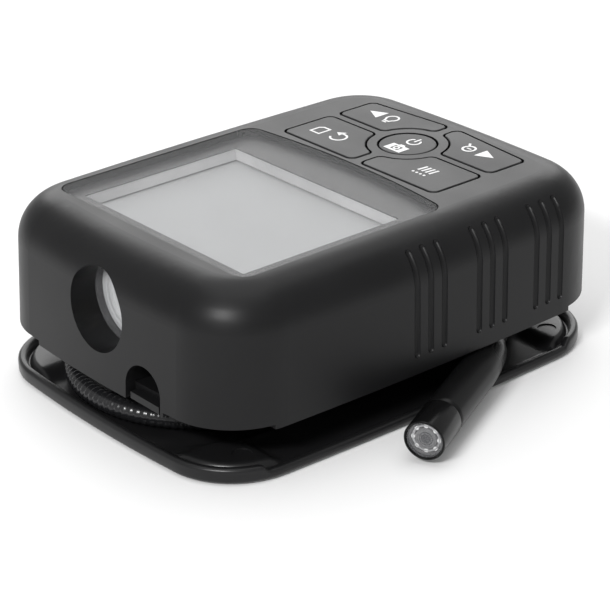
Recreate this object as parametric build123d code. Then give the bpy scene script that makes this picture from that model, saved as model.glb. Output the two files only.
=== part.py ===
from build123d import *
import math
import os

# Hand-held inspection camera: a screen unit standing on a spool tray for its probe cable.
#
# Millimetres. +X is across the unit, +Y runs from the torch end to the button end, +Z is up out
# of the screen. The origin is on the surface it stands on, under the middle of the casing.

# Casing
CASE_WIDTH = 76.0
CASE_LENGTH = 100.0
TOP_Z = 37.0
SKIRT_Z = 10.3
CORNER_R = 15.0
TOP_ROUND = 9.0
FRONT_LEAN = 1.6
SIDE_BOW = 1.2
FRONT_BOW = 2.2
BACK_BOW = 1.4
WALL = 2.2
CASE_GAP = 0.15
DECK_Z = 10.9
DECK_THICK = 2.0
CASE_SCREW_AT = (28.5, 38.0)
CASE_BOSS_R = 3.4
CASE_SCREW_R = 1.3

# Display
DISPLAY_Y = -15.0
ACTIVE_SIZE = (48.96, 36.72)
WINDOW_HALF_WIDTH = 28.9
WINDOW_FRONT_Y = -37.2
WINDOW_SIDE_BACK_Y = 10.9
WINDOW_BACK_Y = 13.0
WINDOW_R = 3.0
WINDOW_THICK = 1.5
MASK_THICK = 0.2
SEAM = 0.15
LCD_FRAME_SIZE = (54.0, 42.0)
LCD_FRAME_Z = (30.2, 32.9)
LCD_SHEET = 0.4

# Keys
KEY_CENTRE_Y = 28.1
KEY_ROW_GAP = 2.1
KEY_COLUMN_GAP = 2.5
KEY_OUTER_X = 22.6
KEY_FRONT_Y = 14.3
KEY_BACK_INNER_Y = 40.7
KEY_BACK_OUTER_Y = 38.7
KEY_CUT_R = 8.5
KEY_R = 1.6
ROUND_KEY_R = 5.85
KEY_GAP = 0.36
KEY_TRAVEL = 0.8
KEY_TOP_Z = 37.08
ROUND_KEY_TOP_Z = 36.95
KEY_EDGE_R = 0.35
KEY_FLANGE = 0.9
KEY_FLANGE_Z = (33.5, 34.6)
KEY_POST_R = 1.7
KEY_POST_Z = 32.5

# Circuit board and what it carries
PCB_Z = (26.4, 28.0)
PCB_SIZE = (64.0, 76.0)
PCB_Y = 5.5
PCB_POST_AT = (30.0, 22.0)
PCB_NOTCH_R = 4.2
PCB_POST_R = 2.6
PCB_SCREW_R = 1.0
SWITCH_SIZE = 6.0
SWITCH_TOP_Z = 30.8
STEM_R = 1.6
STEM_TOP_Z = 31.6

# Charging socket in the back wall
SOCKET_SIZE = (8.9, 3.2)
SOCKET_MOUTH = (8.3, 2.6)
SOCKET_SLOT = (9.6, 3.8)
SOCKET_DROP = 1.7

# Torch
TORCH_Z = 24.7
TORCH_R = 8.2
TORCH_WALL = 1.8
TORCH_LENS_Y = -43.4
TORCH_LENS_THICK = 1.5
TORCH_BACK_Y = -37.2

# Finger grooves on the long sides
GROOVE_GROUP_Y = (-0.3, 15.5, 30.8)
GROOVE_PITCH = 3.4
GROOVE_R = 0.75
GROOVE_STANDOFF = 0.2
GROOVE_LOW_Z = 14.4
GROOVE_END_TURN = 44.0

# The skirt is cut a little higher round each corner
SKIRT_STEP = 0.9
SKIRT_STEP_FROM = (20.0, 37.0)

# Arched outlet in the front wall
OUTLET_X = 14.2
OUTLET_WIDTH = 10.0
OUTLET_TOP_Z = 18.3
OUTLET_DEPTH = 7.0
OUTLET_WALL = 1.2
LEDGE_Z = (10.5, 11.9)

# Spool tray
TRAY_INSET = -0.2
TRAY_SHIFT = (-0.3, -0.7)
TRAY_Z = 0.3
TRAY_FLOOR_Z = 1.6
LOW_RIM_Z = 2.2
END_RIM_Z = 3.4
RIM_WIDTH = 1.8
END_ZONE_Y = 37.5
PAD_INSET = 2.8
PAD_ZONE = (21.5, 34.0)
CABLE_KEEPOUT = 1.6
PAD_Z = 3.1
PAD_SCREW_AT = (29.5, 39.0)
PAD_RECESS_R = 1.9
HUB_HALF_STRAIGHT = 20.0
HUB_R = 14.0
HUB_WALL = 2.0
HUB_POST_AT = (8.0, 23.0)
HUB_POST_R = 3.2
HUB_SCREW_R = 1.3
FOOT_AT = (24.0, 34.0)
FOOT_R = 5.0

# Probe and its cable
CABLE_R = 2.1
COIL_R = (14.2, 27.3)
COIL_Z = (1.7, 10.1)
GLAND_Y = (-13.0, -5.0)
GLAND_WALL = 0.25
CABLE_TURN_X = -16.3
CABLE_TURN_Z = 4.1
HEAD_R = 4.0
HEAD_LENGTH = 9.0
BOOT_R = 3.7
BOOT_START = (35.6, 17.2, 6.15)
HEAD_FACE = (50.9, -13.9, 5.1)
TAIL_ROUTE = [(22.3, 34.7, 4.2), (26.2, 28.6, 4.9), (30.0, 23.2, 5.5), (33.3, 20.0, 5.9), BOOT_START]


def put(shape, low_z, high_z):
    """A flat shape as a slab from low_z to high_z."""
    return Pos(0, 0, low_z) * extrude(shape, amount=high_z - low_z)


def block(x_range, y_range, z_range):
    """A plain block given by its limits."""
    size = [high - low for low, high in (x_range, y_range, z_range)]
    middle = [(high + low) / 2 for low, high in (x_range, y_range, z_range)]
    return Pos(*middle) * Box(*size)


def post(x, y, low_z, high_z, radius):
    """An upright round post or hole."""
    return Pos(x, y, (low_z + high_z) / 2) * Cylinder(radius, high_z - low_z)


def four(x, y):
    """The four mirrored places of one corner."""
    return [(side * x, end * y) for side in (-1, 1) for end in (-1, 1)]


def save(name, *solids):
    """Writes one named piece, or one group of like pieces, as STEP."""
    shape = solids[0] if len(solids) == 1 else Compound(children=list(solids))
    export_step(shape, f"parts/{name}.step")


def case_outline(inset=0.0, lean=0.0):
    """The casing seen from above: four bowed sides with round corners."""
    half_width = CASE_WIDTH / 2 - inset
    half_length = CASE_LENGTH / 2 - inset
    side_x = half_width - SIDE_BOW
    front_y = -half_length + FRONT_BOW + lean
    back_y = half_length - BACK_BOW
    sides = [
        ThreePointArc((-side_x, front_y), (0, -half_length + lean), (side_x, front_y)),
        ThreePointArc((side_x, front_y), (half_width, 0), (side_x, back_y)),
        ThreePointArc((side_x, back_y), (0, half_length), (-side_x, back_y)),
        ThreePointArc((-side_x, back_y), (-half_width, 0), (-side_x, front_y)),
    ]
    face = make_face(sides)
    return fillet(face.vertices(), CORNER_R - inset)


def case_form(inset=0.0, low_z=SKIRT_Z):
    """The casing's rounded form, shrunk by an inset; its front wall leans back towards the top."""
    high_z = TOP_Z - inset
    lean = FRONT_LEAN * (high_z - low_z) / (TOP_Z - SKIRT_Z)
    low = Pos(0, 0, low_z) * case_outline(inset)
    high = Pos(0, 0, high_z) * case_outline(inset, lean)
    form = loft([low, high], ruled=True)
    return fillet(form.edges().group_by(Axis.Z)[-1], TOP_ROUND - inset)


def window_outline(grow=0.0):
    """The display window: straight front and sides, bowed back edge."""
    x = WINDOW_HALF_WIDTH + grow
    front = WINDOW_FRONT_Y - grow
    side_back = WINDOW_SIDE_BACK_Y + grow
    edges = [
        Line((-x, side_back), (-x, front)),
        Line((-x, front), (x, front)),
        Line((x, front), (x, side_back)),
        ThreePointArc((x, side_back), (0, WINDOW_BACK_Y + grow), (-x, side_back)),
    ]
    face = make_face(edges)
    return fillet(face.vertices(), WINDOW_R + grow)


def key_outline(side, row, grow=0.0):
    """One of the four corner keys, cut back round the middle key. row is -1 front, 1 back."""
    inner_x = KEY_COLUMN_GAP / 2 - grow
    outer_x = KEY_OUTER_X + grow
    middle_y = KEY_CENTRE_Y + row * (KEY_ROW_GAP / 2 - grow)
    if row < 0:
        inner_end = outer_end = KEY_FRONT_Y - grow
    else:
        inner_end = KEY_BACK_INNER_Y + grow
        outer_end = KEY_BACK_OUTER_Y + grow
    corners = [(inner_x, middle_y), (outer_x, middle_y), (outer_x, outer_end), (inner_x, inner_end)]
    face = make_face(Polyline(*[(side * x, y) for x, y in corners], close=True))
    face = face - Pos(0, KEY_CENTRE_Y) * Circle(KEY_CUT_R - grow)
    return fillet(face.vertices(), KEY_R + grow / 2)


def round_key_outline(grow=0.0):
    """The middle key."""
    return Pos(0, KEY_CENTRE_Y) * Circle(ROUND_KEY_R + grow)


KEYS = {
    "button_return": (-1, -1),
    "button_menu": (1, -1),
    "button_light": (-1, 1),
    "button_zoom": (1, 1),
}


def key_place(side, row):
    """Where the post under a corner key stands."""
    return side * 13.5, KEY_CENTRE_Y + row * 7.2


def make_key(outline, flange_outline, place, top_z):
    """A key cap with a rounded edge, a hidden flange and a post that meets its switch."""
    cap = put(outline, KEY_FLANGE_Z[0], top_z)
    cap = fillet(cap.edges().group_by(Axis.Z)[-1], KEY_EDGE_R)
    flange = put(flange_outline, *KEY_FLANGE_Z)
    foot = post(*place, KEY_POST_Z, KEY_FLANGE_Z[0] + 0.5, KEY_POST_R)
    return cap + flange + foot


def make_keys():
    for name, (side, row) in KEYS.items():
        outlines = key_outline(side, row), key_outline(side, row, KEY_FLANGE)
        save(name, make_key(*outlines, key_place(side, row), KEY_TOP_Z))
    outlines = round_key_outline(), round_key_outline(KEY_FLANGE)
    save("button_capture", make_key(*outlines, (0, KEY_CENTRE_Y), ROUND_KEY_TOP_Z))


def side_x_at(y):
    """Half the casing's width at y, along its bowed side."""
    reach = CASE_LENGTH / 2
    return CASE_WIDTH / 2 - SIDE_BOW * (y / reach) ** 2


def groove(side, y):
    """One round-bottomed finger groove: up the wall, then part of the way over the top round."""
    surface_x = side_x_at(y) + GROOVE_STANDOFF
    turn_z = TOP_Z - TOP_ROUND
    bend_r = TOP_ROUND + GROOVE_STANDOFF
    bend_x = surface_x - bend_r
    points = []
    for angle in (0, GROOVE_END_TURN / 2, GROOVE_END_TURN):
        turn = math.radians(angle)
        points.append((side * (bend_x + bend_r * math.cos(turn)), y, turn_z + bend_r * math.sin(turn)))
    path = Wire([Line((side * surface_x, y, GROOVE_LOW_Z), points[0]), ThreePointArc(*points)])
    section = Plane(origin=path @ 0, z_dir=(0, 0, 1)) * Circle(GROOVE_R)
    cut = sweep(section, path=path)
    for end in (path @ 0, path @ 1):
        cut += Pos(*end) * Sphere(GROOVE_R)
    return cut


def grooves():
    """The finger grooves of both long sides."""
    steps = [middle + step * GROOVE_PITCH for middle in GROOVE_GROUP_Y for step in (-1, 0, 1)]
    return [groove(side, y) for side in (-1, 1) for y in steps]


def outlet(grow=0.0):
    """The round-topped pocket low in the front wall, or with grow the walls round it."""
    radius = OUTLET_WIDTH / 2 + grow
    y_range = (-CASE_LENGTH / 2 - 1, -CASE_LENGTH / 2 + OUTLET_DEPTH + grow)
    crown_z = OUTLET_TOP_Z - OUTLET_WIDTH / 2
    x_range = (OUTLET_X - radius, OUTLET_X + radius)
    lower = block(x_range, y_range, (SKIRT_Z - 1, crown_z))
    depth = y_range[1] - y_range[0]
    upper = Pos(OUTLET_X, sum(y_range) / 2, crown_z) * Rot(90, 0, 0) * Cylinder(radius, depth)
    return lower + upper


def outlet_walls():
    """The walls that close the pocket behind the outlet, down to the deck."""
    above_deck = block((0, 60), (-60, 0), (DECK_Z + DECK_THICK + 0.1, TOP_Z))
    return outlet(OUTLET_WALL) & above_deck & case_form(1.0)


def make_upper_case():
    inner = case_form(WALL, SKIRT_Z)
    shell = case_form() - inner
    for x, y in four(*CASE_SCREW_AT):
        shell += post(x, y, DECK_Z + DECK_THICK, TOP_Z - 1, CASE_BOSS_R) & inner
        shell -= post(x, y, DECK_Z, 22, CASE_SCREW_R)
    for x, y in pcb_posts():
        shell += post(x, y, PCB_Z[1], TOP_Z - 1, PCB_POST_R) & inner
        shell -= post(x, y, PCB_Z[0], PCB_Z[1] + 4.5, PCB_SCREW_R)
    barrel_y = (-CASE_LENGTH / 2 + 1.5, TORCH_BACK_Y)
    barrel = torch_round(TORCH_R + TORCH_WALL, *barrel_y) & case_form(0.3)
    shell += barrel
    shell -= torch_round(TORCH_R, -CASE_LENGTH / 2 - 1, TORCH_BACK_Y + 1)
    window_z = TOP_Z - WINDOW_THICK - MASK_THICK
    shell -= put(window_outline(SEAM), window_z, TOP_Z + 1)
    lcd_hole = LCD_FRAME_SIZE[0] + 0.6, LCD_FRAME_SIZE[1] + 0.6
    shell -= Pos(0, DISPLAY_Y) * put(Rectangle(*lcd_hole), 30, TOP_Z)
    for side, row in KEYS.values():
        shell -= put(key_outline(side, row, KEY_GAP), 30, TOP_Z + 1)
    shell -= put(round_key_outline(KEY_GAP), 30, TOP_Z + 1)
    for x_end, y_end in four(1, 1):
        x_range = sorted((x_end * SKIRT_STEP_FROM[0], x_end * 60))
        y_range = sorted((y_end * SKIRT_STEP_FROM[1], y_end * 60))
        shell -= block(x_range, y_range, (SKIRT_Z - 1, SKIRT_Z + SKIRT_STEP))
    shell += outlet_walls()
    shell -= outlet()
    shell -= socket_hole()
    for cut in grooves():
        shell -= cut
    save("upper_case", shell)


def make_lower_case():
    deck = put(case_outline(WALL + CASE_GAP), DECK_Z, DECK_Z + DECK_THICK)
    for x, y in four(*CASE_SCREW_AT):
        deck -= post(x, y, 0, TOP_Z, CASE_SCREW_R + 0.2)
        deck -= post(x, y, 0, DECK_Z + 0.9, 2.4)
    for x, y in four(*HUB_POST_AT):
        deck -= post(x, y, 0, TOP_Z, HUB_SCREW_R + 0.1)
    for x in (-30.0, 30.0):
        deck += block((x - 0.8, x + 0.8), (-20, 24), (DECK_Z + DECK_THICK, DECK_Z + DECK_THICK + 4))
    ledge_x = (OUTLET_X - 4.0, OUTLET_X + 4.7)
    ledge_y = (-CASE_LENGTH / 2 + 0.6, -CASE_LENGTH / 2 + 4.5)
    deck += block(ledge_x, ledge_y, (LEDGE_Z[0], LEDGE_Z[1]))
    save("lower_case", deck)


def screw(x, y, head_z, tip_z, radius, head_r):
    """A round-headed screw driven up from head_z to tip_z."""
    head = post(x, y, head_z, head_z + 0.8, head_r)
    slot = Pos(x, y, head_z + 0.2) * (Box(2 * head_r * 0.7, 0.5, 0.4) + Box(0.5, 2 * head_r * 0.7, 0.4))
    return head + post(x, y, head_z + 0.8, tip_z, radius) - slot


def make_case_screws():
    low = DECK_Z + 0.05
    save("case_screws", *[screw(x, y, low, 20, CASE_SCREW_R - 0.05, 2.2) for x, y in four(*CASE_SCREW_AT)])


def make_display():
    mask_z = TOP_Z - WINDOW_THICK - MASK_THICK
    window = put(window_outline(), mask_z + MASK_THICK, TOP_Z - 0.03)
    save("display_window", fillet(window.edges().group_by(Axis.Z)[-1], 0.2))
    hole = Pos(0, DISPLAY_Y) * Rectangle(ACTIVE_SIZE[0] + 0.4, ACTIVE_SIZE[1] + 0.4)
    save("display_mask", put(window_outline(-0.1) - hole, mask_z, mask_z + MASK_THICK))
    low, high = LCD_FRAME_Z
    outer = RectangleRounded(*LCD_FRAME_SIZE, 0.8)
    inner = Rectangle(LCD_FRAME_SIZE[0] - 2 * LCD_SHEET, LCD_FRAME_SIZE[1] - 2 * LCD_SHEET)
    opening = Rectangle(ACTIVE_SIZE[0] + 2.6, ACTIVE_SIZE[1] + 2.6)
    frame = put(outer, low, high) - put(inner, low - 1, high - LCD_SHEET) - put(opening, low, high + 1)
    place = Pos(0, DISPLAY_Y)
    save("lcd_frame", place * frame)
    sheet = Rectangle(LCD_FRAME_SIZE[0] - 2, LCD_FRAME_SIZE[1] - 2)
    panel_z = high - LCD_SHEET - 0.8
    save("lcd_panel", place * put(sheet, panel_z, panel_z + 0.8))
    save("lcd_backlight", place * put(sheet, low, panel_z))
    gasket_hole = Rectangle(ACTIVE_SIZE[0] + 0.6, ACTIVE_SIZE[1] + 0.6)
    save("lcd_gasket", place * put(outer - gasket_hole, high, mask_z))


def pcb_posts():
    """The four places where the board is screwed to the casing."""
    x, y = PCB_POST_AT
    return [(side * x, PCB_Y + end * y) for side in (-1, 1) for end in (-1, 1)]


def make_circuit():
    board = Pos(0, PCB_Y) * put(RectangleRounded(*PCB_SIZE, 2), *PCB_Z)
    for x, y in pcb_posts():
        board -= post(x, y, 20, 35, PCB_SCREW_R + 0.15)
    for x, y in four(*CASE_SCREW_AT):
        board -= post(x, y, 20, 35, PCB_NOTCH_R)
    save("main_circuit_board", board)
    low = PCB_Z[0] - 0.85
    screws = [screw(x, y, low, PCB_Z[1] + 4, PCB_SCREW_R - 0.05, 1.9) for x, y in pcb_posts()]
    save("circuit_board_screws", *screws)
    switches = []
    places = [key_place(*key) for key in KEYS.values()] + [(0, KEY_CENTRE_Y)]
    half = SWITCH_SIZE / 2
    for x, y in places:
        body = block((x - half, x + half), (y - half, y + half), (PCB_Z[1], SWITCH_TOP_Z))
        switches.append(body + post(x, y, SWITCH_TOP_Z - 0.5, STEM_TOP_Z, STEM_R))
    save("tactile_switches", *switches)
    under = PCB_Z[0]
    save("processor_chip", block((-14, 0), (-12, 2), (under - 1.4, under)))
    save("memory_chips", *[block((x, x + 10), (-10, 0), (under - 1.1, under)) for x in (4, 16)])
    save("power_chips", *[block((x, x + 5), (18, 23), (under - 1.2, under)) for x in (-20, -11, 12)])


def socket_hole():
    """The slot in the back wall for the charging lead."""
    back = CASE_LENGTH / 2
    slot = socket_outline(SOCKET_SLOT)
    return Pos(0, back + 1, PCB_Z[0] - SOCKET_DROP) * Rot(90, 0, 0) * extrude(slot, amount=WALL + 6)


def socket_outline(size):
    """The round-ended outline of a charging socket of that width and height."""
    return RectangleRounded(*size, size[1] / 2 - 0.05)


def make_charging_socket():
    """A metal shell with a rolled front edge, round a plastic tongue that stands further back."""
    back_y = PCB_Y + PCB_SIZE[1] / 2 - 4.0
    front_y = CASE_LENGTH / 2 - WALL - 0.4
    depth = front_y - back_y
    mouth_depth = 6.2
    tongue_set_back = 0.8
    shell = extrude(socket_outline(SOCKET_SIZE), amount=depth)
    mouth = extrude(socket_outline(SOCKET_MOUTH), amount=mouth_depth)
    tongue = extrude(Rectangle(6.6, 0.7), amount=mouth_depth + 0.3)
    tongue -= extrude(Rectangle(12, 6), amount=tongue_set_back)
    middle = Pos(0, front_y, PCB_Z[0] - SOCKET_DROP)
    save("charging_socket", middle * Rot(90, 0, 0) * (shell - mouth + tongue))


def make_battery():
    low = DECK_Z + DECK_THICK
    save("battery_pad", block((-24, 24), (-17, 21), (low, low + 0.8)))
    cell = put(RectangleRounded(54, 42, 3), low + 0.8, low + 8.8)
    cell = fillet(cell.edges().filter_by(GeomType.LINE).filter_by(Axis.Z, reverse=True), 1.5)
    save("lithium_battery", Pos(0, 2) * cell)


def torch_round(radius, low_y, high_y):
    """A round bar along the torch's axis."""
    bar = Cylinder(radius, high_y - low_y)
    return Pos(0, (low_y + high_y) / 2, TORCH_Z) * Rot(90, 0, 0) * bar


def make_torch():
    lens_back = TORCH_LENS_Y + TORCH_LENS_THICK
    save("torch_lens", torch_round(TORCH_R - 0.05, TORCH_LENS_Y, lens_back))
    bowl_depth = 4.4
    bowl_back = lens_back + bowl_depth
    cup = Pos(0, (lens_back + bowl_back) / 2, TORCH_Z) * Rot(90, 0, 0) * Cone(2.6, TORCH_R - 1.0, bowl_depth)
    reflector = torch_round(TORCH_R - 0.05, lens_back, bowl_back) - cup
    save("torch_reflector", reflector)
    save("torch_led", torch_round(2.3, bowl_back - 1.2, bowl_back))
    save("torch_board", torch_round(TORCH_R - 0.6, bowl_back, bowl_back + 1.4))


def racetrack(radius):
    """A round-ended outline about the spool's two centres."""
    return SlotOverall(2 * (HUB_HALF_STRAIGHT + radius), 2 * radius, rotation=90)


def make_hub():
    wall = put(racetrack(HUB_R) - racetrack(HUB_R - HUB_WALL), TRAY_FLOOR_Z, DECK_Z)
    floor = put(racetrack(HUB_R), TRAY_FLOOR_Z, TRAY_FLOOR_Z + 1.2)
    hub = wall + floor
    for x, y in four(*HUB_POST_AT):
        hub += post(x, y, TRAY_FLOOR_Z, DECK_Z, HUB_POST_R)
        hub -= post(x, y, 0, TOP_Z, HUB_SCREW_R)
    save("spool_hub", hub)
    screws = [screw(x, y, TRAY_Z + 0.1, 12.5, HUB_SCREW_R - 0.05, 2.4) for x, y in four(*HUB_POST_AT)]
    save("hub_screws", *screws)


def tray_outline(inset=0.0):
    """The tray seen from above: a little larger than the casing and set forward under it."""
    return Pos(*TRAY_SHIFT) * case_outline(TRAY_INSET + inset)


def make_tray():
    outline = tray_outline()
    ring = outline - tray_outline(RIM_WIDTH)
    tray = put(outline, TRAY_Z, TRAY_FLOOR_Z) + put(ring, TRAY_FLOOR_Z, LOW_RIM_Z)
    for end in (-1, 1):
        end_zone = block((-60, 60), sorted((end * END_ZONE_Y, end * 60)), (0, 20))
        tray += put(ring, TRAY_FLOOR_Z, END_RIM_Z) & end_zone
    pad_x, pad_y = PAD_ZONE
    for side, end in four(1, 1):
        pad_zone = block(sorted((side * pad_x, side * 60)), sorted((end * pad_y, end * 60)), (0, 20))
        tray += (put(tray_outline(PAD_INSET), TRAY_FLOOR_Z, PAD_Z) & pad_zone) - racetrack_keepout()
    for x, y in four(*PAD_SCREW_AT):
        tray -= post(x, y, PAD_Z - 0.5, PAD_Z + 1, PAD_RECESS_R)
    for x, y in four(*HUB_POST_AT):
        tray -= post(x, y, 0, TRAY_FLOOR_Z + 1, HUB_SCREW_R + 0.1)
        tray -= post(x, y, 0, TRAY_Z + 0.95, 2.5)
    for x, y in four(*FOOT_AT):
        tray -= post(x, y, 0, TRAY_Z + 0.5, FOOT_R + 0.1)
    save("base_tray", tray)


def racetrack_keepout():
    """The space that the wound cable keeps free of the corner pads."""
    return put(racetrack(COIL_R[1] + CABLE_KEEPOUT), TRAY_FLOOR_Z, 20)


def make_feet():
    save("rubber_feet", *[post(x, y, 0, TRAY_Z + 0.5, FOOT_R) for x, y in four(*FOOT_AT)])


def along_probe(start, stop, radius):
    """A round bar along the probe's axis, measured back from its face."""
    axis = Vector(*HEAD_FACE) - Vector(*BOOT_START)
    plane = Plane(origin=HEAD_FACE, z_dir=axis)
    return plane * Pos(0, 0, -(start + stop) / 2) * Cylinder(radius, stop - start)


def make_probe():
    axis = Vector(*HEAD_FACE) - Vector(*BOOT_START)
    boot_length = axis.length - HEAD_LENGTH
    case = along_probe(0, HEAD_LENGTH, HEAD_R) - along_probe(-1, HEAD_LENGTH - 1.2, HEAD_R - 0.5)
    save("probe_head", case)
    save("probe_lens", along_probe(0.25, 0.85, HEAD_R - 0.55))
    board = along_probe(2.0, 2.8, HEAD_R - 0.55)
    save("probe_light_board", board)
    plane = Plane(origin=HEAD_FACE, z_dir=axis)
    lights = [plane * place * Cylinder(0.42, 0.9) for place in PolarLocations(2.55, 8)]
    save("probe_lights", *[Pos(*(axis.normalized() * -1.55)) * light for light in lights])
    save("probe_camera", along_probe(0.95, 2.0, 1.35))
    save("probe_sensor_board", along_probe(3.6, 7.4, 1.8))
    boot_plane = Plane(origin=BOOT_START, z_dir=axis)
    sleeve = Pos(0, 0, boot_length * 0.75) * Cylinder(BOOT_R, boot_length * 0.5)
    taper = Pos(0, 0, boot_length * 0.25) * Cone(CABLE_R + 0.5, BOOT_R, boot_length * 0.5)
    save("probe_boot", boot_plane * (sleeve + taper))


def route_radii(points):
    """The largest arc at each corner that its two runs allow."""
    vectors = [Vector(*point) for point in points]
    radii = []
    for before, corner, after in zip(vectors, vectors[1:], vectors[2:]):
        run_in = corner - before
        run_out = after - corner
        half_turn = run_in.get_angle(run_out) / 2
        shorter = min(run_in.length, run_out.length)
        radii.append(0.45 * shorter / math.tan(math.radians(half_turn)))
    return radii


def make_cable():
    ring = put(racetrack(COIL_R[1]) - racetrack(COIL_R[0]), *COIL_Z)
    save("probe_cable_coil", ring)
    radii = route_radii(TAIL_ROUTE)
    print("tail radii", [round(radius, 1) for radius in radii])
    path = FilletPolyline(*TAIL_ROUTE, radius=radii)
    section = Plane(origin=path @ 0, z_dir=path % 0) * Circle(CABLE_R)
    tail = sweep(section, path=path)
    print("tail volume", round(tail.volume, 1), "section x length", round(section.area * path.length, 1))
    save("probe_cable_tail", tail)


def make_gland():
    """The block on the hub's side that the cable leaves through."""
    reach = CABLE_R + GLAND_WALL
    x_range = (CABLE_TURN_X - reach, -HUB_R - 0.02)
    bush = block(x_range, GLAND_Y, (CABLE_TURN_Z - reach, CABLE_TURN_Z + reach))
    bore = post(0, 0, -20, 20, CABLE_R + 0.02)
    save("cable_gland", bush - Pos(CABLE_TURN_X, 0, CABLE_TURN_Z) * Rot(90, 0, 0) * bore)


def main():
    os.makedirs("parts", exist_ok=True)
    make_upper_case()
    make_lower_case()
    make_case_screws()
    make_display()
    make_keys()
    make_circuit()
    make_charging_socket()
    make_battery()
    make_torch()
    make_hub()
    make_tray()
    make_feet()
    make_gland()
    make_probe()
    make_cable()


main()
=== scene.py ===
"""Hand-held inspection camera: screen unit, spool tray, wound probe cable and camera probe.

Lengths are millimetres in the frame's own axes, +X across the unit, +Y from the torch end to the
key end, +Z up, and MM turns them into Blender's metres.
"""
import math

import bmesh
import bpy
from mathutils import Matrix, Vector


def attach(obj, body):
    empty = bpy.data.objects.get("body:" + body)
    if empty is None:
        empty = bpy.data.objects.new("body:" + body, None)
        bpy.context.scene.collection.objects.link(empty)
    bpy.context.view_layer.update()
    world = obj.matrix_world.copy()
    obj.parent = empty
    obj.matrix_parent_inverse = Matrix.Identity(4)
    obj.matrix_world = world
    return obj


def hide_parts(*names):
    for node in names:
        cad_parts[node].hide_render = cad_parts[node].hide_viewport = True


MM = 0.001

# Casing outline, which the tray repeats
CASE_WIDTH = 76.0
CASE_LENGTH = 100.0
CORNER_R = 15.0
SIDE_BOW = 1.2
FRONT_BOW = 2.2
BACK_BOW = 1.4
SIDE_STEPS = 72
CORNER_STEPS = 32

# Tray: heights, rim and corner pads
TRAY_INSET = -0.2
TRAY_SHIFT = (-0.3, -0.7)
TRAY_LOW_Z = 0.3
TRAY_FLOOR_Z = 1.6
RIM_LEAST_Z = TRAY_LOW_Z + 0.9
LOW_RIM_Z = 2.25
END_RIM_Z = 3.45
END_ZONE_Y = 38.2
END_STEP = 1.2
PAD_Z = 3.1
PAD_ZONE = (18.5, 33.0)
PAD_RAMP = (5.5, 4.0)
GULLY_INSET = (2.2, 3.2)
CABLE_CLEARANCE = 0.4
CABLE_RAMP = 2.5
UNDERSIDE_INSETS = (13.0, 6.0, 1.1)
RIM_FOOT_INSET = 2.05
RIM_FOOT_RISE = 0.08
FLOOR_INSET = 2.3
FLOOR_STEP = 0.5
FLOOR_RINGS = 23

# Tray: round recesses for the pad marks, the feet and the hub's screws
PAD_MARK_AT = (29.5, 39.0)
PAD_MARK_R = 1.9
PAD_MARK_DEPTH = 0.22
FOOT_AT = (24.0, 34.0)
FOOT_R = 5.1
FOOT_RECESS = 0.5
HUB_POST_AT = (8.0, 23.0)
HUB_POST_HOLE_R = 2.5
HUB_POST_RECESS = 0.95
CUT_MARGIN = 1.0
RECESS_STEPS = 48

# Cable and the spool it is wound on
HUB_HALF_STRAIGHT = 20.0
CABLE_R = 2.1
TURN_RADII = (16.3, 20.9, 25.6)
LAYER_Z = (3.8, 8.6)
GLAND_EXIT = (-16.3, -5.0, 4.1)
BOOT_START = (35.6, 17.2, 6.15)
TAIL_ROUTE = [(22.3, 34.7, 4.2), (26.2, 28.6, 4.9), (30.0, 23.2, 5.5), (33.3, 20.0, 5.9), BOOT_START]
LAST_TURN_SLACK = (-4.6, -1.0)
SLACK_STARTS = (4.02, 0.2)
SLACK_ENDS = (4.78, 0.3)
TURN_STEPS = 36
STRAIGHT_SHARE = 0.19
CABLE_SIDES = 16
RIB_PITCH = 1.4
RIB_DROPS = (0.0, 0.03, 0.18, 0.2, 0.05)

# Probe
HEAD_FACE = (50.9, -13.9, 5.1)
HEAD_R = 4.0
HEAD_LENGTH = 9.0
HEAD_MOUTH_DEPTH = 2.6
BOOT_R = 3.9
BOOT_GAP = 0.05
BOOT_STRAIGHT = 20.0
BOOT_STEP = 0.35
BOOT_TAPER = (0.42, 0.5)
BOOT_CHAMFER = (0.22, 0.02)
BOOT_END_ROUND = (0.3, 0.015)
BOOT_OVER_CABLE = 0.35

# Torch
TORCH_Z = 24.7
TORCH_R = 8.1
TORCH_LENS_BACK_Y = -41.9

# Keys
KEY_TOP_Z = 37.08
ROUND_KEY_TOP_Z = 36.95
ICON_LIFT = 0.035
ICON_DEPTH = 0.05
RING_STEPS = 40

# Camera, looking down on the near corner
CAMERA_AT = (323.15, -263.08, 206.41)
CAMERA_LENS = 136.87
CAMERA_AZIMUTH = 50.785
CAMERA_ELEVATION = 25.223
CAMERA_ROLL = -1.254

# Surfaces: where a noise texture's values lie, and the slow changes of shade and gloss
NOISE_RANGE = (0.3, 0.7)
PLASTIC_PATCH = 14.0
PLASTIC_SPREAD = 0.12
POLISHED_PATCH = 9.0
METAL_SPREAD = 0.1
PATCH_DETAIL = 2.0
TRACK_WIDTH = 1.6
TRACK_RELIEF = 0.03
TRACK_SPREAD = 0.35

# Light: each lamp's place, width and height, and power
WORLD_STRENGTH = 0.5
LAMPS = {
    "overhead": ((-60, 60, 700), (700, 700), 2.3),
    "behind": ((-620, 520, 420), (900, 520), 3.9),
    "front": ((250, -491, 431), (200, 60), 3.4),
}
LAMP_AIM = (0, 0, 20)
FLOOR_HALF = 4000.0
FLOOR_WHITE = 0.76
FLOOR_GLOW = 0.06


# ---------------------------------------------------------------- meshes

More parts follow.
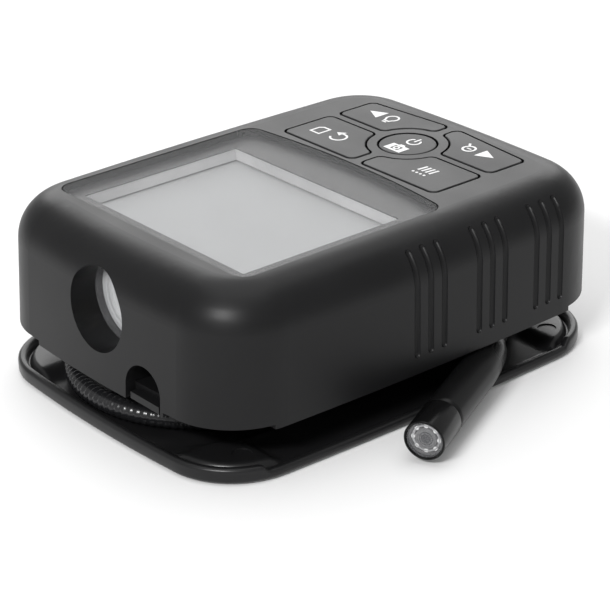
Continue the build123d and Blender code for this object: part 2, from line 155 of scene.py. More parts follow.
def mesh_object(name, points, faces, smooth=True):
    """A mesh from points in millimetres."""
    mesh = bpy.data.meshes.new(name)
    mesh.from_pydata([Vector(point) * MM for point in points], [], faces)
    work = bmesh.new()
    work.from_mesh(mesh)
    bmesh.ops.recalc_face_normals(work, faces=work.faces)
    work.to_mesh(mesh)
    work.free()
    for polygon in mesh.polygons:
        polygon.use_smooth = smooth
    piece = bpy.data.objects.new(name, mesh)
    bpy.context.scene.collection.objects.link(piece)
    return piece


def bridged(rings, closed_rows=False):
    """Points and faces of rings of equal count, capped at both ends or joined last to first."""
    count = len(rings[0])
    points = [point for ring in rings for point in ring]
    faces = []
    rows = len(rings) if closed_rows else len(rings) - 1
    for row in range(rows):
        start = row * count
        following = (row + 1) % len(rings) * count
        for step in range(count):
            after = (step + 1) % count
            faces.append((start + step, start + after, following + after, following + step))
    if not closed_rows:
        faces.append(tuple(range(count)))
        last = (len(rings) - 1) * count
        faces.append(tuple(last + step for step in range(count)))
    return points, faces


def harden(piece, angle=32.0):
    """Keeps edges sharper than angle crisp under smooth shading."""
    work = bmesh.new()
    work.from_mesh(piece.data)
    limit = math.radians(angle)
    for edge in work.edges:
        if len(edge.link_faces) == 2 and edge.calc_face_angle(0) > limit:
            edge.smooth = False
    work.to_mesh(piece.data)
    work.free()


def turns(steps):
    """Equal angles round a circle."""
    return [2 * math.pi * step / steps for step in range(steps)]


def lathe(name, profile, origin, axis, steps=72, hollow=False):
    """A solid of revolution from (distance along the axis, radius) pairs.

    The profile runs from one end to the other, or for a hollow piece all the way round its section.
    """
    along = Vector(axis).normalized()
    side = along.orthogonal().normalized()
    up = along.cross(side)
    rings = []
    for distance, radius in profile:
        ring = []
        for turn in turns(steps):
            offset = side * math.cos(turn) + up * math.sin(turn)
            ring.append(Vector(origin) + along * distance + offset * radius)
        rings.append(ring)
    piece = mesh_object(name, *bridged(rings, closed_rows=hollow))
    harden(piece)
    return piece


def mirrored(place):
    """The four mirrored places of one corner."""
    return [(side * place[0], end * place[1]) for side in (-1, 1) for end in (-1, 1)]


def blend_step(value):
    """0 below 0, 1 above 1 and a smooth rise between."""
    value = min(1.0, max(0.0, value))
    return value * value * (3 - 2 * value)


def boolean_cut(piece, cutter):
    """Cuts cutter out of piece and removes it."""
    modifier = piece.modifiers.new("cut", "BOOLEAN")
    modifier.object = cutter
    modifier.solver = "EXACT"
    graph = bpy.context.evaluated_depsgraph_get()
    result = bpy.data.meshes.new_from_object(piece.evaluated_get(graph))
    piece.modifiers.remove(modifier)
    piece.data = result
    bpy.data.objects.remove(cutter)


# ---------------------------------------------------------------- materials

def node_material(name, colour, roughness, sockets=None):
    """A Principled material; sockets are further values set on the shader itself."""
    material = bpy.data.materials.new(name)
    material.use_nodes = True
    shader = material.node_tree.nodes["Principled BSDF"]
    shader.inputs["Base Color"].default_value = (*colour, 1.0)
    shader.inputs["Roughness"].default_value = roughness
    for label, value in (sockets or {}).items():
        shader.inputs[label].default_value = value
    return material


def noise(material, size_mm, detail=3.0):
    """A noise texture in the object's own space with features about size_mm across."""
    nodes = material.node_tree.nodes
    place = nodes.new("ShaderNodeTexCoord")
    texture = nodes.new("ShaderNodeTexNoise")
    texture.inputs["Scale"].default_value = 1.0 / (size_mm * MM)
    texture.inputs["Detail"].default_value = detail
    material.node_tree.links.new(place.outputs["Object"], texture.inputs["Vector"])
    return texture


def vary_colour(material, texture, colour, spread):
    """Base colour that wanders a little either side of colour."""
    tree = material.node_tree
    ramp = tree.nodes.new("ShaderNodeValToRGB")
    shades = (1 - spread, 1 + spread)
    for stop, position, shade in zip(ramp.color_ramp.elements, NOISE_RANGE, shades):
        stop.position = position
        stop.color = (*[min(1, part * shade) for part in colour], 1)
    tree.links.new(texture.outputs["Fac"], ramp.inputs["Fac"])
    tree.links.new(ramp.outputs["Color"], tree.nodes["Principled BSDF"].inputs["Base Color"])


def vary_roughness(material, texture, low, high):
    """Roughness that wanders between low and high."""
    tree = material.node_tree
    spread = tree.nodes.new("ShaderNodeMapRange")
    spread.inputs["From Min"].default_value = NOISE_RANGE[0]
    spread.inputs["From Max"].default_value = NOISE_RANGE[1]
    spread.inputs["To Min"].default_value = low
    spread.inputs["To Max"].default_value = high
    tree.links.new(texture.outputs["Fac"], spread.inputs["Value"])
    tree.links.new(spread.outputs["Result"], tree.nodes["Principled BSDF"].inputs["Roughness"])


def add_bump(material, texture, height_mm):
    """Fine relief from a texture."""
    tree = material.node_tree
    bump = tree.nodes.new("ShaderNodeBump")
    bump.inputs["Distance"].default_value = height_mm * MM
    bump.inputs["Strength"].default_value = 1.0
    tree.links.new(texture.outputs["Fac"], bump.inputs["Height"])
    tree.links.new(bump.outputs["Normal"], tree.nodes["Principled BSDF"].inputs["Normal"])


def moulded(name, colour, rough, grain_mm, relief_mm, sockets):
    """Moulded plastic or rubber: fine spark-eroded grain, slow changes of gloss and shade."""
    material = node_material(name, colour, rough[0], sockets)
    broad = noise(material, PLASTIC_PATCH, PATCH_DETAIL)
    vary_colour(material, broad, colour, PLASTIC_SPREAD)
    vary_roughness(material, broad, *rough)
    add_bump(material, noise(material, grain_mm), relief_mm)
    return material


def glossy(name, colour, rough, spread, sockets):
    """Clean material with only slow changes, for clear parts, metal plating and ink."""
    material = node_material(name, colour, rough[0], sockets)
    broad = noise(material, POLISHED_PATCH, PATCH_DETAIL)
    vary_colour(material, broad, colour, spread)
    vary_roughness(material, broad, *rough)
    return material


def brushed(name, colour, rough, grain_mm, relief_mm, sockets):
    """Rolled or turned metal with a fine directionless grain."""
    material = glossy(name, colour, rough, METAL_SPREAD, {"Metallic": 1.0, **sockets})
    add_bump(material, noise(material, grain_mm), relief_mm)
    return material


def board(name):
    """Printed circuit board: solder mask with slightly raised copper under it."""
    material = node_material(name, (0.01, 0.09, 0.04), 0.35)
    tracks = noise(material, TRACK_WIDTH, 1.0)
    vary_colour(material, tracks, (0.012, 0.10, 0.045), TRACK_SPREAD)
    add_bump(material, tracks, TRACK_RELIEF)
    return material


# Plastics and rubbers: colour, roughness, grain size and relief in millimetres
MOULDED = {
    "case_plastic": ((0.006, 0.006, 0.0064), (0.36, 0.42), 0.22, 0.005),
    "key_plastic": ((0.007, 0.007, 0.0075), (0.38, 0.44), 0.2, 0.005),
    "tray_plastic": ((0.009, 0.009, 0.0095), (0.28, 0.36), 0.5, 0.004),
    "hub_plastic": ((0.012, 0.012, 0.013), (0.4, 0.5), 0.3, 0.008),
    "gasket_grey": ((0.5, 0.5, 0.505), (0.7, 0.8), 0.5, 0.01),
    "chip_black": ((0.02, 0.02, 0.021), (0.5, 0.6), 0.15, 0.006),
    "soft_rubber": ((0.02, 0.02, 0.02), (0.75, 0.85), 0.4, 0.02),
    "cable_black": ((0.010, 0.010, 0.011), (0.20, 0.26), 0.5, 0.004),
    "boot_black": ((0.004, 0.004, 0.0042), (0.26, 0.32), 0.3, 0.003),
    "icon_white": ((0.72, 0.72, 0.72), (0.5, 0.6), 0.2, 0.004),
}

# Glass, ink, plating and polished pieces: colour, roughness and spread of the colour
GLOSSY = {
    "window_clear": ((0.35, 0.355, 0.36), (0.12, 0.16), 0.02),
    "mask_ink": ((0.055, 0.055, 0.056), (0.36, 0.42), 0.1),
    "lcd_grey": ((0.38, 0.384, 0.388), (0.6, 0.66), 0.03),
    "lcd_white": ((0.8, 0.8, 0.8), (0.4, 0.5), 0.03),
    "torch_silver": ((0.86, 0.87, 0.88), (0.22, 0.30), 0.04),
    "led_yellow": ((0.75, 0.62, 0.18), (0.3, 0.4), 0.08),
    "clear_lens": ((0.3, 0.3, 0.31), (0.05, 0.09), 0.02),
    "led_white": ((0.95, 0.95, 0.95), (0.2, 0.3), 0.02),
    "head_black": ((0.004, 0.004, 0.0042), (0.2, 0.26), 0.1),
    "camera_glass": ((0.01, 0.01, 0.014), (0.05, 0.09), 0.1),
    "probe_bezel": ((0.07, 0.07, 0.072), (0.35, 0.45), 0.2),
    "light_guide": ((0.5, 0.5, 0.51), (0.2, 0.6), 0.6),
    "probe_inner": ((0.13, 0.13, 0.132), (0.4, 0.5), 0.2),
}

# Bare metal: colour, roughness, grain size and relief in millimetres
BRUSHED = {
    "steel": ((0.55, 0.55, 0.56), (0.25, 0.35), 0.3, 0.004),
    "battery_foil": ((0.62, 0.62, 0.64), (0.3, 0.42), 2.5, 0.05),
}

# What some of them set on the shader itself
SHADER_SOCKETS = {
    "case_plastic": {"Specular IOR Level": 0.22},
    "key_plastic": {"Specular IOR Level": 0.24},
    "tray_plastic": {"Specular IOR Level": 0.3},
    "gasket_grey": {"Specular IOR Level": 0.05},
    "boot_black": {"Specular IOR Level": 0.18},
    "window_clear": {"Alpha": 0.1},
    "mask_ink": {"Specular IOR Level": 0.2},
    "lcd_grey": {"Specular IOR Level": 0.05},
    "torch_silver": {"Metallic": 0.3},
    "clear_lens": {"Alpha": 0.15},
    "head_black": {"Specular IOR Level": 0.18},
    "light_guide": {"Metallic": 0.4},
}


def make_materials():
    """Every material by its name."""
    materials = {"circuit_green": board("circuit_green")}
    for build, table in ((moulded, MOULDED), (glossy, GLOSSY), (brushed, BRUSHED)):
        for name, values in table.items():
            materials[name] = build(name, *values, sockets=SHADER_SOCKETS.get(name, {}))
    return materials


# The carried-over pieces that each material is for
NODE_MATERIALS = {
    "case_plastic": ["upper_case", "lower_case"],
    "key_plastic": ["button_return", "button_menu", "button_light", "button_zoom", "button_capture"],
    "hub_plastic": ["spool_hub", "cable_gland"],
    "window_clear": ["display_window"],
    "mask_ink": ["display_mask"],
    "lcd_grey": ["lcd_panel"],
    "lcd_white": ["lcd_backlight"],
    "gasket_grey": ["lcd_gasket"],
    "steel": ["case_screws", "circuit_board_screws", "hub_screws", "lcd_frame", "charging_socket"],
    "circuit_green": ["main_circuit_board", "probe_sensor_board", "torch_board"],
    "chip_black": ["memory_chips", "power_chips", "processor_chip", "tactile_switches"],
    "battery_foil": ["lithium_battery"],
    "soft_rubber": ["battery_pad", "rubber_feet"],
    "led_yellow": ["torch_led"],
    "clear_lens": ["torch_lens", "probe_lens"],
    "led_white": ["probe_lights"],
    "camera_glass": ["probe_camera"],
    "probe_bezel": ["probe_light_board"],
}


def finish_with(piece, material):
    """Gives a new piece its one material."""
    piece.data.materials.clear()
    piece.data.materials.append(made[material])


def paint_nodes(nodes):
    """Every carried-over piece gets its procedural material."""
    for material, names in NODE_MATERIALS.items():
        for name in names:
            materials = nodes[name].data.materials
            if not materials:
                materials.append(made[material])
            for index in range(len(materials)):
                materials[index] = made[material]


# ---------------------------------------------------------------- outline

def circle_through(first, second, third):
    """Centre and radius of the circle through three points."""
    ax, ay = first
    bx, by = second
    cx, cy = third
    twice_area = 2 * (ax * (by - cy) + bx * (cy - ay) + cx * (ay - by))
    a2, b2, c2 = ax * ax + ay * ay, bx * bx + by * by, cx * cx + cy * cy
    x = (a2 * (by - cy) + b2 * (cy - ay) + c2 * (ay - by)) / twice_area
    y = (a2 * (cx - bx) + b2 * (ax - cx) + c2 * (bx - ax)) / twice_area
    return Vector((x, y)), math.hypot(ax - x, ay - y)


def circles_meet(centre_a, radius_a, centre_b, radius_b, near):
    """Where two circles cross, the crossing nearer to near."""
    gap = (centre_b - centre_a).length
    along = (radius_a ** 2 - radius_b ** 2 + gap ** 2) / (2 * gap)
    across = math.sqrt(max(0.0, radius_a ** 2 - along ** 2))
    line = (centre_b - centre_a).normalized()
    middle = centre_a + line * along
    sideways = Vector((-line.y, line.x)) * across
    return min((middle + sideways, middle - sideways), key=lambda point: (point - near).length)


def arc_points(centre, radius, start, end, steps):
    """Points and outward directions on the arc between two points, without the end point."""
    first = math.atan2(start.y - centre.y, start.x - centre.x)
    last = math.atan2(end.y - centre.y, end.x - centre.x)
    while last < first:
        last += 2 * math.pi
    result = []
    for step in range(steps):
        turn = first + (last - first) * step / steps
        outward = Vector((math.cos(turn), math.sin(turn)))
        result.append((centre + outward * radius, outward))
    return result


def case_outline():
    """The casing from above, counterclockwise, as points with their outward directions.

    Each side is a slightly bowed arc, and the corner rounds are tangent to the sides they join.
    """
    half_width, half_length = CASE_WIDTH / 2, CASE_LENGTH / 2
    side_x = half_width - SIDE_BOW
    front_y, back_y = -half_length + FRONT_BOW, half_length - BACK_BOW
    corners = [(-side_x, front_y), (side_x, front_y), (side_x, back_y), (-side_x, back_y)]
    middles = [(0, -half_length), (half_width, 0), (0, half_length), (-half_width, 0)]
    sides = []
    for index in range(4):
        sides.append(circle_through(corners[index], middles[index], corners[(index + 1) % 4]))
    rounds = []
    for index in range(4):
        before, after = sides[index - 1], sides[index]
        near = Vector(corners[index]) * 0.7
        meet = circles_meet(before[0], before[1] - CORNER_R, after[0], after[1] - CORNER_R, near)
        touch_before = before[0] + (meet - before[0]).normalized() * before[1]
        touch_after = after[0] + (meet - after[0]).normalized() * after[1]
        rounds.append((meet, touch_before, touch_after))
    outline = []
    for index in range(4):
        following = rounds[(index + 1) % 4]
        centre, touch_before, touch_after = rounds[index]
        outline += arc_points(centre, CORNER_R, touch_before, touch_after, CORNER_STEPS)
        outline += arc_points(*sides[index], touch_after, following[1], SIDE_STEPS)
    return outline


# ---------------------------------------------------------------- tray

def rim_height(x, y):
    """Height of the rim's top: low on the long sides, higher round the ends and corners."""
    past_end = blend_step((abs(y - TRAY_SHIFT[1]) - END_ZONE_Y + END_STEP / 2) / END_STEP)
    return LOW_RIM_Z + (END_RIM_Z - LOW_RIM_Z) * past_end


def racetrack_distance(x, y):
    """Distance from the line between the spool's two centres."""
    beyond = max(0.0, abs(y) - HUB_HALF_STRAIGHT)
    return math.hypot(x, beyond)


def tray_height(x, y, inset):
    """Height of the tray's upper surface inside its rim: the floor and four soft corner pads."""
    clear_of_cable = TURN_RADII[-1] + CABLE_R + CABLE_CLEARANCE
    rise = blend_step((abs(x) - PAD_ZONE[0]) / PAD_RAMP[0])
    rise *= blend_step((abs(y) - PAD_ZONE[1]) / PAD_RAMP[1])
    rise *= blend_step((inset - GULLY_INSET[0]) / (GULLY_INSET[1] - GULLY_INSET[0]))
    rise *= blend_step((racetrack_distance(x, y) - clear_of_cable) / CABLE_RAMP)
    return TRAY_FLOOR_Z + (PAD_Z - TRAY_FLOOR_Z) * rise


def ring_at(outline, inset, height):
    """The outline moved inwards; height is a number or a function of x and y."""
    ring = []
    for point, outward in outline:
        x, y = point - outward * (inset + TRAY_INSET) + Vector(TRAY_SHIFT)
        ring.append((x, y, height(x, y) if callable(height) else height))
    return ring


# The tray's edge from the underside up, as inset and rise, and its rim, as inset and drop
EDGE_PROFILE = [(0.5, 0.12), (0.14, 0.4), (0.0, 0.8)]
RIM_PROFILE = [(0.0, -0.9), (0.06, -0.55), (0.25, -0.25), (0.55, -0.06), (0.9, 0.0), (1.25, -0.06),
               (1.55, -0.25), (1.74, -0.55), (1.85, -0.8)]


def tray_cutter():
    """One cutter for all the tray's round recesses."""
    above, below = PAD_Z + CUT_MARGIN, TRAY_LOW_Z - CUT_MARGIN
    cuts = [(*place, PAD_Z - PAD_MARK_DEPTH, above, PAD_MARK_R) for place in mirrored(PAD_MARK_AT)]
    cuts += [(*place, below, TRAY_LOW_Z + FOOT_RECESS, FOOT_R) for place in mirrored(FOOT_AT)]
    for place in mirrored(HUB_POST_AT):
        cuts.append((*place, below, TRAY_LOW_Z + HUB_POST_RECESS, HUB_POST_HOLE_R))
    points, faces = [], []
    for x, y, low, high, radius in cuts:
        circle = [(x + radius * math.cos(turn), y + radius * math.sin(turn)) for turn in turns(RECESS_STEPS)]
        cut_points, cut_faces = bridged([[(*place, z) for place in circle] for z in (low, high)])
        faces += [tuple(index + len(points) for index in face) for face in cut_faces]
        points += cut_points
    return mesh_object("tray_cutter", points, faces, smooth=False)


def make_tray():
    """The base tray: a beaded rim, a gully inside it, and soft pads in the corners."""
    outline = case_outline()
    rings = [ring_at(outline, inset, TRAY_LOW_Z) for inset in UNDERSIDE_INSETS]
    rings += [ring_at(outline, inset, TRAY_LOW_Z + rise) for inset, rise in EDGE_PROFILE]
    for inset, drop in RIM_PROFILE:
        rings.append(ring_at(outline, inset, lambda x, y: max(RIM_LEAST_Z, rim_height(x, y) + drop)))
    rings.append(ring_at(outline, RIM_FOOT_INSET, TRAY_FLOOR_Z + RIM_FOOT_RISE))
    for step in range(FLOOR_RINGS):
        inset = FLOOR_INSET + step * FLOOR_STEP
        rings.append(ring_at(outline, inset, lambda x, y: tray_height(x, y, inset)))
    tray = mesh_object("tray_shell", *bridged(rings))
    boolean_cut(tray, tray_cutter())
    harden(tray, 50.0)
    finish_with(tray, "tray_plastic")
    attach(tray, "housing")
    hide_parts("base_tray")


# ---------------------------------------------------------------- cable

def on_racetrack(share, radius):
    """A point a share of a turn round the spool, clockwise from the +Y end of the +X straight."""
    share %= 1.0
    arc_share = 0.5 - STRAIGHT_SHARE
    side = 1.0
    if share >= 0.5:
        share -= 0.5
        side = -1.0
    if share < STRAIGHT_SHARE:
        x, y = radius, HUB_HALF_STRAIGHT - 2 * HUB_HALF_STRAIGHT * share / STRAIGHT_SHARE
    else:
        turn = math.pi * (share - STRAIGHT_SHARE) / arc_share
        x, y = radius * math.cos(turn), -HUB_HALF_STRAIGHT - radius * math.sin(turn)
    return side * x, side * y


# Each move to the next column and layer of the winding: where it starts and ends, in turns
MOVES = [((0, 1), 1.39, 1.52), ((1, 1), 2.27, 2.38), ((1, 0), 3.14, 3.25), ((2, 0), 4.00, 4.10)]
WIND_FROM = 0.571
WIND_TO = 4.9125


def winding_place(turn):
    """Radius and height of the cable at a place along the winding."""
    radius, height = TURN_RADII[0], LAYER_Z[0]
    for (column, layer), start, end in MOVES:
        share = blend_step((turn - start) / (end - start))
        radius += (TURN_RADII[column] - radius) * share
        height += (LAYER_Z[layer] - height) * share
    return radius, height


def slack(turn):
    """How far the loose last turn lies off its place in the winding, round the torch end."""
    starting = blend_step((turn - SLACK_STARTS[0]) / SLACK_STARTS[1])
    ending = blend_step((SLACK_ENDS[0] - turn) / SLACK_ENDS[1])
    return Vector(LAST_TURN_SLACK) * (starting * ending)


def cable_route():
    """From the gland round the spool, inside to outside, and along the tail into the boot.

    The smooth line runs inside its control points on a bend, so they are set out by spline_pull.
    """
    points = [GLAND_EXIT]
    count = int((WIND_TO - WIND_FROM) * TURN_STEPS)
    step_angle = math.pi / (TURN_STEPS * (0.5 - STRAIGHT_SHARE))
    spline_pull = 0.75 + 0.25 * math.cos(step_angle)
    for step in range(1, count + 1):
        turn = WIND_FROM + (WIND_TO - WIND_FROM) * step / count
        radius, height = winding_place(turn)
        place = Vector(on_racetrack(turn, radius / spline_pull)) + slack(turn)
        points.append((*place, height))
    return points + TAIL_ROUTE


def route_line(name, points, resolution=8):
    """Points on the smooth NURBS line whose control points are given, in metres."""
    curve = bpy.data.curves.new(name, "CURVE")
    curve.dimensions = "3D"
    curve.resolution_u = resolution
    spline = curve.splines.new("NURBS")
    spline.points.add(len(points) - 1)
    for control, place in zip(spline.points, points):
        control.co = (*(Vector(place) * MM), 1.0)
    spline.order_u = 3
    spline.use_endpoint_u = True
    holder = bpy.data.objects.new(name, curve)
    mesh = bpy.data.meshes.new_from_object(holder)
    line = [vertex.co.copy() for vertex in mesh.vertices]
    bpy.data.objects.remove(holder)
    bpy.data.meshes.remove(mesh)
    return line


def spaced(line, step):
    """The line again with evenly spaced points."""
    lengths = [0.0]
    for before, after in zip(line, line[1:]):
        lengths.append(lengths[-1] + (after - before).length)
    count = max(2, round(lengths[-1] / step))
    result = []
    index = 0
    for number in range(count + 1):
        target = lengths[-1] * number / count
        while index < len(line) - 2 and lengths[index + 1] < target:
            index += 1
        run = lengths[index + 1] - lengths[index]
        share = (target - lengths[index]) / run if run else 0.0
        result.append(line[index].lerp(line[index + 1], share))
    return result


def swept(name, line, radius_at, segments):
    """A tube along a line of points in metres; radius_at gives millimetres for a point's number."""
    rings = []
    side = (line[1] - line[0]).orthogonal().normalized()
    for number, centre in enumerate(line):
        ahead = line[min(number + 1, len(line) - 1)] - line[max(number - 1, 0)]
        ahead.normalize()
        side = (side - ahead * side.dot(ahead)).normalized()
        up = ahead.cross(side)
        radius = radius_at(number)
        ring = []
        for turn in turns(segments):
            ring.append(centre / MM + (side * math.cos(turn) + up * math.sin(turn)) * radius)
        rings.append(ring)
    return mesh_object(name, *bridged(rings))


def make_cable():
    """The ribbed cable, wound from the hub outwards, with its tail running into the boot."""
    line = spaced(route_line("cable_route", cable_route()), RIB_PITCH * MM / len(RIB_DROPS))

    def radius_at(number):
        return CABLE_R - RIB_DROPS[number % len(RIB_DROPS)]

    cable = swept("probe_cable", line, radius_at, CABLE_SIDES)
    finish_with(cable, "cable_black")
    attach(cable, "housing")
    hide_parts("probe_cable_coil", "probe_cable_tail")


# ---------------------------------------------------------------- probe

def probe_axis():
    """Unit direction from the boot out to the camera's face."""
    return (Vector(HEAD_FACE) - Vector(BOOT_START)).normalized()


def make_boot():
    """The rubber boot: full size at the head, then curving and tapering down to the cable."""
    axis = probe_axis()
    head_back = Vector(HEAD_FACE) - axis * (HEAD_LENGTH + BOOT_GAP)
    middle = Vector(HEAD_FACE) - axis * BOOT_STRAIGHT
    route = [tuple(head_back), tuple(middle), *reversed(TAIL_ROUTE[1:])]
    line = spaced(route_line("boot_route", route, 24), BOOT_STEP * MM)
    count = len(line) - 1

    def radius_at(number):
        share = number / count
        chamfer = BOOT_CHAMFER[0] * (1 - blend_step(share / BOOT_CHAMFER[1]))
        tapered = blend_step((share - BOOT_TAPER[0]) / BOOT_TAPER[1])
        radius = BOOT_R - chamfer - (BOOT_R - CABLE_R - BOOT_OVER_CABLE) * tapered
        end_round = BOOT_END_ROUND[0] * blend_step((share - 1 + BOOT_END_ROUND[1]) / BOOT_END_ROUND[1])
        return radius - end_round

    boot = swept("probe_boot_sleeve", line, radius_at, 56)
    return dress_probe(boot, "boot_black", "probe_boot")


def dress_probe(piece, material, *nodes, slot=None):
    """Material, body and CAD nodes of one piece of the probe; slot is not used."""
    finish_with(piece, material)
    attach(piece, "housing")
    if nodes:
        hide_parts(*nodes)
    return piece


def make_head():
    """The head's metal sleeve: rolled mouth, smooth body, open inside, and a seam at the boot."""
    r = HEAD_R
    back = -HEAD_LENGTH
    inside = -HEAD_MOUTH_DEPTH
    profile = [(inside, r - 0.5), (-0.5, r - 0.5), (-0.2, r - 0.45), (-0.03, r - 0.34), (0.0, r - 0.24),
               (-0.05, r - 0.1), (-0.2, r), (-0.8, r), (back + 0.45, r), (back + 0.25, r - 0.06),
               (back + 0.1, r - 0.25), (back, r - 0.5), (back, r - 1.5), (inside, r - 1.5)]
    head = lathe("probe_sleeve", profile, HEAD_FACE, probe_axis(), 96, hollow=True)
    return dress_probe(head, "head_black", "probe_head")


def make_face():
    """What shows in the probe's mouth: a bezel, a bright guide behind the lights, and a barrel."""
    bezel = [(-2.1, 3.42), (-0.98, 3.42), (-0.92, 3.38), (-0.92, 3.0), (-1.0, 2.9), (-1.2, 2.86),
             (-2.1, 2.86)]
    ring = lathe("probe_bezel", bezel, HEAD_FACE, probe_axis(), 72, hollow=True)
    dress_probe(ring, "probe_bezel", slot="steel")
    barrel = [(-2.0, 2.08), (-1.0, 2.08), (-0.93, 2.02), (-0.93, 1.72), (-1.02, 1.66), (-1.02, 1.3),
              (-0.95, 1.24), (-0.95, 0.95), (-1.1, 0.8), (-1.2, 0.55), (-2.0, 0.55)]
    stop = lathe("probe_camera_barrel", barrel, HEAD_FACE, probe_axis(), 64, hollow=True)
    dress_probe(stop, "probe_inner", slot="steel")
    guide = [(-1.75, 2.76), (-1.2, 2.76), (-1.1, 2.7), (-1.08, 2.55), (-1.12, 2.4), (-1.25, 2.34),
             (-1.75, 2.34)]
    bright = lathe("probe_light_guide", guide, HEAD_FACE, probe_axis(), 64, hollow=True)
    dress_probe(bright, "light_guide", slot="torch_silver")
    return [ring, stop, bright]


# ---------------------------------------------------------------- torch

def make_reflector():
    """The torch's bright cup: a rolled front ring, stepped facets and a well for the light."""
    r = TORCH_R
    profile = [(4.35, 0.3), (4.35, r - 0.05), (0.1, r - 0.05), (0.02, r - 0.15), (0.0, r - 0.5),
               (0.06, r - 0.95), (0.45, r - 1.1), (0.5, r - 1.35), (0.12, r - 1.5), (0.08, r - 1.8),
               (0.14, r - 2.15), (0.7, r - 2.3), (0.85, r - 2.9), (0.95, r - 4.0), (1.15, r - 4.1),
               (1.3, r - 5.0), (1.5, r - 5.1), (2.4, 2.5), (3.6, 2.4), (3.6, 0.3)]
    origin = (0.0, TORCH_LENS_BACK_Y, TORCH_Z)
    cup = lathe("torch_cup", profile, origin, (0, 1, 0), 96)
    finish_with(cup, "torch_silver")
    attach(cup, "housing")
    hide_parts("torch_reflector")


# ---------------------------------------------------------------- key symbols

def prism(outline, top_z):
    """A thin flat shape on a key's top, as points and faces."""
    heights = (top_z - ICON_DEPTH, top_z + ICON_LIFT)
    return bridged([[(x, y, z) for x, y in outline] for z in heights])


def stroke(line, width, closed=False):
    """Quadrilaterals that follow a line at an even width."""
    half = width / 2
    sides = []
    count = len(line)
    for number in range(count):
        before = Vector(line[number - 1 if closed else max(number - 1, 0)])
        after = Vector(line[(number + 1) % count if closed else min(number + 1, count - 1)])
        here = Vector(line[number])
        inward = (here - before).normalized() if (here - before).length else (after - here).normalized()
        onward = (after - here).normalized() if (after - here).length else inward
        middle = (inward + onward).normalized()
        normal = Vector((-middle.y, middle.x))
        stretch = half / max(0.5, abs(normal.dot(Vector((-inward.y, inward.x)))))
        sides.append((here + normal * stretch, here - normal * stretch))
    outline = [left for left, _ in sides] + [right for _, right in reversed(sides)]
    if not closed:
        return [outline]
    quads = []
    for number in range(count):
        after = (number + 1) % count
        quads.append([sides[number][0], sides[after][0], sides[after][1], sides[number][1]])
    return quads


def arc(x, y, radius, start, end, steps=28):
    """Points on an arc, angles in degrees."""
    result = []
    for step in range(steps + 1):
        turn = math.radians(start + (end - start) * step / steps)
        result.append((x + radius * math.cos(turn), y + radius * math.sin(turn)))
    return result


def ring_band(x, y, outer, inner, start=0.0, end=360.0):
    """A flat ring or part of one, as one outline per step."""
    far = arc(x, y, outer, start, end, RING_STEPS)
    near = arc(x, y, inner, start, end, RING_STEPS)
    return [[far[n], far[n + 1], near[n + 1], near[n]] for n in range(RING_STEPS)]


def light_symbol():
    """A pointer to the left, and a lamp with its cap."""
    shapes = [[(-19.1, 34.9), (-15.4, 33.1), (-15.4, 36.7)]]
    lamp = arc(-12.5, 35.2, 1.35, -50, 230, 30)
    shapes += stroke(lamp + [(-13.15, 33.5), (-11.85, 33.5)], 0.42, closed=True)
    shapes += stroke([(-13.1, 32.85), (-11.9, 32.85)], 0.4)
    return shapes


def zoom_symbol():
    """A magnifying glass, and a pointer to the right."""
    shapes = ring_band(10.5, 35.1, 1.55, 1.1)
    shapes += stroke([(9.5, 36.2), (8.6, 37.2)], 0.5)
    shapes += stroke([(9.9, 35.1), (11.1, 35.1)], 0.34)
    shapes.append([(17.4, 35.2), (13.7, 37.0), (13.7, 33.4)])
    return shapes


def return_symbol():
    """A sheet, and an arrow that turns back."""
    shapes = stroke([(-18.9, 18.5), (-16.3, 18.5), (-16.3, 21.6), (-18.2, 21.6), (-18.9, 20.9)], 0.42,
                    closed=True)
    shapes += ring_band(-12.1, 20.2, 1.95, 1.5, -150, 120)
    shapes.append([(-14.3, 21.7), (-12.6, 22.9), (-12.7, 20.8)])
    return shapes


def menu_symbol():
    """Four short bars, each with a dot."""
    shapes = []
    for step in range(4):
        x = 11.9 + step * 1.05
        shapes += stroke([(x - 0.12, 20.2), (x + 0.12, 22.6)], 0.5)
        shapes.append(arc(x - 0.22, 19.0, 0.3, 0, 345, 23))
    return shapes


def capture_symbol():
    """A camera, and a power ring with its bar."""
    shapes = [[(-2.3, 23.6), (2.3, 23.6), (2.3, 24.2), (-2.3, 24.2)]]
    shapes.append([(-2.3, 26.0), (2.3, 26.0), (2.3, 26.5), (-2.3, 26.5)])
    shapes.append([(-0.8, 26.5), (0.8, 26.5), (0.6, 27.0), (-0.6, 27.0)])
    shapes.append([(-2.3, 24.2), (-1.1, 24.2), (-1.1, 26.0), (-2.3, 26.0)])
    shapes.append([(1.1, 24.2), (2.3, 24.2), (2.3, 26.0), (1.1, 26.0)])
    shapes += ring_band(0.0, 25.1, 0.75, 0.38)
    shapes += ring_band(0.1, 29.7, 1.6, 1.18, 125, 415)
    shapes += stroke([(0.1, 29.8), (0.1, 31.7)], 0.42)
    return shapes


SYMBOLS = {
    "return": (return_symbol, KEY_TOP_Z),
    "menu": (menu_symbol, KEY_TOP_Z),
    "light": (light_symbol, KEY_TOP_Z),
    "zoom": (zoom_symbol, KEY_TOP_Z),
    "capture": (capture_symbol, ROUND_KEY_TOP_Z),
}


def make_symbols():
    """The printed symbols, one piece on each key."""
    for name, (draw, top_z) in SYMBOLS.items():
        points, faces = [], []
        for outline in draw():
            more_points, more_faces = prism(outline, top_z)
            faces += [tuple(index + len(points) for index in face) for face in more_faces]
            points += more_points
        symbol = mesh_object("symbol_" + name, points, faces, smooth=False)
        finish_with(symbol, "icon_white")
        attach(symbol, name + "_key")


# ---------------------------------------------------------------- floor, lights and camera

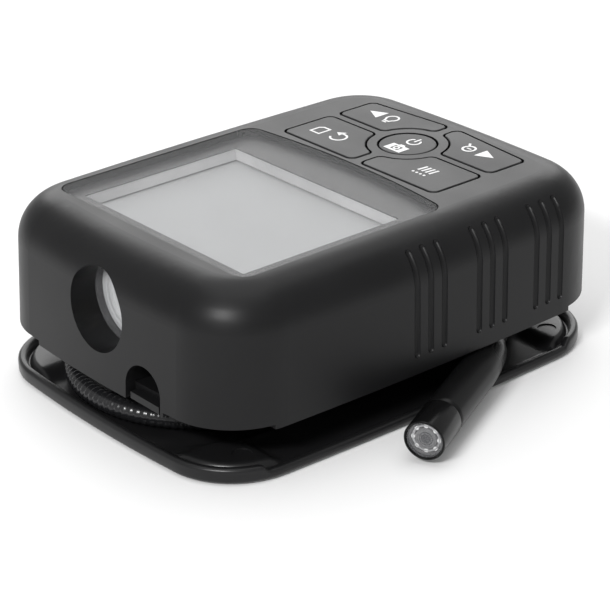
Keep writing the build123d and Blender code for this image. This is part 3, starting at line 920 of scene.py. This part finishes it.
def make_floor():
    """A plain pale floor, large enough to fill the view."""
    half = FLOOR_HALF
    corners = [(-half, -half, 0), (half, -half, 0), (half, half, 0), (-half, half, 0)]
    floor = mesh_object("floor", corners, [(0, 1, 2, 3)], smooth=False)
    material = node_material("floor_white", (FLOOR_WHITE, FLOOR_WHITE, FLOOR_WHITE), 0.9)
    shader = material.node_tree.nodes["Principled BSDF"]
    shader.inputs["Specular IOR Level"].default_value = 0.1
    shader.inputs["Emission Color"].default_value = (1.0, 1.0, 1.0, 1.0)
    shader.inputs["Emission Strength"].default_value = FLOOR_GLOW
    floor.data.materials.append(material)


def make_lamp(name, place, size, power):
    """A rectangular area light turned towards the object."""
    data = bpy.data.lights.new(name, "AREA")
    data.shape = "RECTANGLE"
    data.size, data.size_y = size[0] * MM, size[1] * MM
    data.energy = power
    light = bpy.data.objects.new(name, data)
    light.location = Vector(place) * MM
    direction = Vector(LAMP_AIM) - Vector(place)
    light.rotation_euler = direction.to_track_quat("-Z", "Y").to_euler()
    bpy.context.scene.collection.objects.link(light)


def make_lights():
    """White surroundings and three lamps; the one behind gives the sheen on the top."""
    world = bpy.data.worlds.new("white_room")
    world.use_nodes = True
    background = world.node_tree.nodes["Background"]
    background.inputs["Color"].default_value = (1.0, 1.0, 1.0, 1.0)
    background.inputs["Strength"].default_value = WORLD_STRENGTH
    bpy.context.scene.world = world
    for name, (place, size, power) in LAMPS.items():
        make_lamp(name, place, size, power)


def make_camera():
    """A long lens that looks down on the near corner, rolled very slightly."""
    azimuth, elevation, roll = (math.radians(a) for a in (CAMERA_AZIMUTH, CAMERA_ELEVATION, CAMERA_ROLL))
    level = math.cos(elevation)
    backward = Vector((math.sin(azimuth) * level, -math.cos(azimuth) * level, math.sin(elevation)))
    right = (-backward).cross(Vector((0, 0, 1))).normalized()
    upward = backward.cross(right)
    tilted = right * math.cos(roll) + upward * math.sin(roll)
    rise = upward * math.cos(roll) - right * math.sin(roll)
    data = bpy.data.cameras.new("camera")
    data.lens = CAMERA_LENS
    data.sensor_width = 36.0
    data.clip_start, data.clip_end = 0.01, 20.0
    camera = bpy.data.objects.new("camera", data)
    turn = Matrix((tilted, rise, backward)).transposed().to_4x4()
    camera.matrix_world = Matrix.Translation(Vector(CAMERA_AT) * MM) @ turn
    bpy.context.scene.collection.objects.link(camera)
    bpy.context.scene.camera = camera


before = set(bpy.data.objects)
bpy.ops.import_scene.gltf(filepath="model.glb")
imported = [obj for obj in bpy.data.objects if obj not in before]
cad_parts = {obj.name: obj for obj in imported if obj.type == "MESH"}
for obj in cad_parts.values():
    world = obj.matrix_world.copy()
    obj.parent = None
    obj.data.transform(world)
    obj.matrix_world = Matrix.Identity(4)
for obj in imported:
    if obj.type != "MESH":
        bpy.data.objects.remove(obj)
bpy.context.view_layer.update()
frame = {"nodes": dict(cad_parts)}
made = make_materials()
bpy.context.scene.view_settings.view_transform = "Standard"
make_camera()
nodes = frame["nodes"]
probe_nodes = ["probe_lens", "probe_lights", "probe_camera", "probe_light_board", "probe_sensor_board"]
on_cable = [make_boot(), make_head(), *make_face(), *[nodes[name] for name in probe_nodes]]
make_cable()
paint_nodes(nodes)
make_tray()
make_reflector()
make_symbols()
make_floor()
make_lights()
